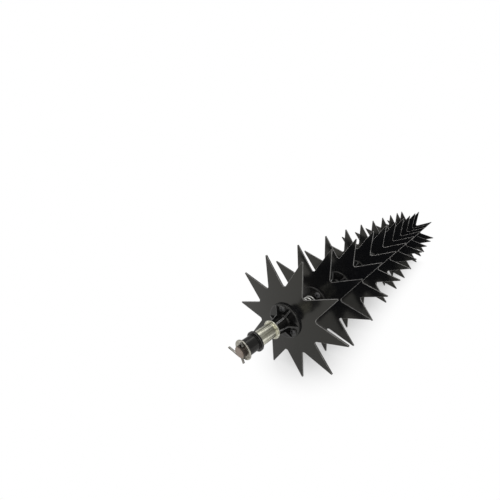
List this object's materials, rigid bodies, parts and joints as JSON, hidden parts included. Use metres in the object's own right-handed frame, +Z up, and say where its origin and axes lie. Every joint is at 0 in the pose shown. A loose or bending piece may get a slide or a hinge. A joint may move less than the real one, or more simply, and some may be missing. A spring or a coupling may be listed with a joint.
{
  "type": "spiked aerator roller",
  "caption": "Spiked lawn aerator roller: flat star wheels with moulded hubs turn on one axle, with springs, sleeves and bushes at its ends for a towed carrier.",
  "frame": {"origin": "middle of the roller on the ground it stands on", "axes": "+X along the axle from the left end to the right end, +Z up, +Y across the roller"},
  "size_m": [1.2416, 0.254, 0.2423],
  "materials": {
    "axle_steel": "dark oiled bar, bare on its end faces",
    "black_powder_coat": "smooth glossy black powder coat on cut plate",
    "black_plastic": "moulded black plastic, half gloss",
    "bolt_steel": "black oxide bolts with zinc plated nuts",
    "black_paint": "painted black tube",
    "spring_zinc": "zinc plated wire",
    "zinc_plate": "pale yellowish zinc plate",
    "bush_plastic": "smooth black plastic",
    "washer_steel": "grey zinc plate"
  },
  "bodies": {
    "axle": {"axle_shaft": "axle_steel", "spacer_tube_01": "black_paint", "spacer_tube_02": "black_paint", "spacer_tube_03": "black_paint", "spacer_tube_04": "black_paint", "spacer_tube_05": "black_paint", "spacer_tube_06": "black_paint", "spacer_tube_07": "black_paint", "left_spring": "spring_zinc", "right_spring": "spring_zinc", "left_sleeve": "zinc_plate", "right_sleeve": "zinc_plate", "left_washer": "washer_steel", "right_washer": "washer_steel", "left_cotter_pin": "washer_steel", "right_cotter_pin": "washer_steel"},
    "star_01": {"star_wheel_01": "black_powder_coat", "left_hub_01": "black_plastic", "right_hub_01": "black_plastic", "hub_bolts_01": "bolt_steel"},
    "star_02": {"star_wheel_02": "black_powder_coat", "left_hub_02": "black_plastic", "right_hub_02": "black_plastic", "hub_bolts_02": "bolt_steel"},
    "star_03": {"star_wheel_03": "black_powder_coat", "left_hub_03": "black_plastic", "right_hub_03": "black_plastic", "hub_bolts_03": "bolt_steel"},
    "star_04": {"star_wheel_04": "black_powder_coat", "left_hub_04": "black_plastic", "right_hub_04": "black_plastic", "hub_bolts_04": "bolt_steel"},
    "star_05": {"star_wheel_05": "black_powder_coat", "left_hub_05": "black_plastic", "right_hub_05": "black_plastic", "hub_bolts_05": "bolt_steel"},
    "star_06": {"star_wheel_06": "black_powder_coat", "left_hub_06": "black_plastic", "right_hub_06": "black_plastic", "hub_bolts_06": "bolt_steel"},
    "star_07": {"star_wheel_07": "black_powder_coat", "left_hub_07": "black_plastic", "right_hub_07": "black_plastic", "hub_bolts_07": "bolt_steel"},
    "star_08": {"star_wheel_08": "black_powder_coat", "left_hub_08": "black_plastic", "right_hub_08": "black_plastic", "hub_bolts_08": "bolt_steel"},
    "star_09": {"star_wheel_09": "black_powder_coat", "left_hub_09": "black_plastic", "right_hub_09": "black_plastic", "hub_bolts_09": "bolt_steel"},
    "star_10": {"star_wheel_10": "black_powder_coat", "left_hub_10": "black_plastic", "right_hub_10": "black_plastic", "hub_bolts_10": "bolt_steel"},
    "left_bearing": {"left_bush": "bush_plastic"},
    "right_bearing": {"right_bush": "bush_plastic"}
  },
  "joints": [
    {"name": "star_01_spin", "type": "hinge", "parent": "axle", "child": "star_01", "pos_m": [-0.50755, 0, 0.12115], "axis": [1, 0, 0], "continuous": true},
    {"name": "star_02_spin", "type": "hinge", "parent": "axle", "child": "star_02", "pos_m": [-0.41195, 0, 0.12115], "axis": [1, 0, 0], "continuous": true},
    {"name": "star_03_spin", "type": "hinge", "parent": "axle", "child": "star_03", "pos_m": [-0.29425, 0, 0.12115], "axis": [1, 0, 0], "continuous": true},
    {"name": "star_04_spin", "type": "hinge", "parent": "axle", "child": "star_04", "pos_m": [-0.17655, 0, 0.12115], "axis": [1, 0, 0], "continuous": true},
    {"name": "star_05_spin", "type": "hinge", "parent": "axle", "child": "star_05", "pos_m": [-0.05885, 0, 0.12115], "axis": [1, 0, 0], "continuous": true},
    {"name": "star_06_spin", "type": "hinge", "parent": "axle", "child": "star_06", "pos_m": [0.05885, 0, 0.12115], "axis": [1, 0, 0], "continuous": true},
    {"name": "star_07_spin", "type": "hinge", "parent": "axle", "child": "star_07", "pos_m": [0.17655, 0, 0.12115], "axis": [1, 0, 0], "continuous": true},
    {"name": "star_08_spin", "type": "hinge", "parent": "axle", "child": "star_08", "pos_m": [0.29425, 0, 0.12115], "axis": [1, 0, 0], "continuous": true},
    {"name": "star_09_spin", "type": "hinge", "parent": "axle", "child": "star_09", "pos_m": [0.41195, 0, 0.12115], "axis": [1, 0, 0], "continuous": true},
    {"name": "star_10_spin", "type": "hinge", "parent": "axle", "child": "star_10", "pos_m": [0.50755, 0, 0.12115], "axis": [1, 0, 0], "continuous": true},
    {"name": "left_bush_spin", "type": "hinge", "parent": "axle", "child": "left_bearing", "pos_m": [-0.58455, 0, 0.12115], "axis": [1, 0, 0], "continuous": true},
    {"name": "right_bush_spin", "type": "hinge", "parent": "axle", "child": "right_bearing", "pos_m": [0.58455, 0, 0.12115], "axis": [1, 0, 0], "continuous": true}
  ]
}
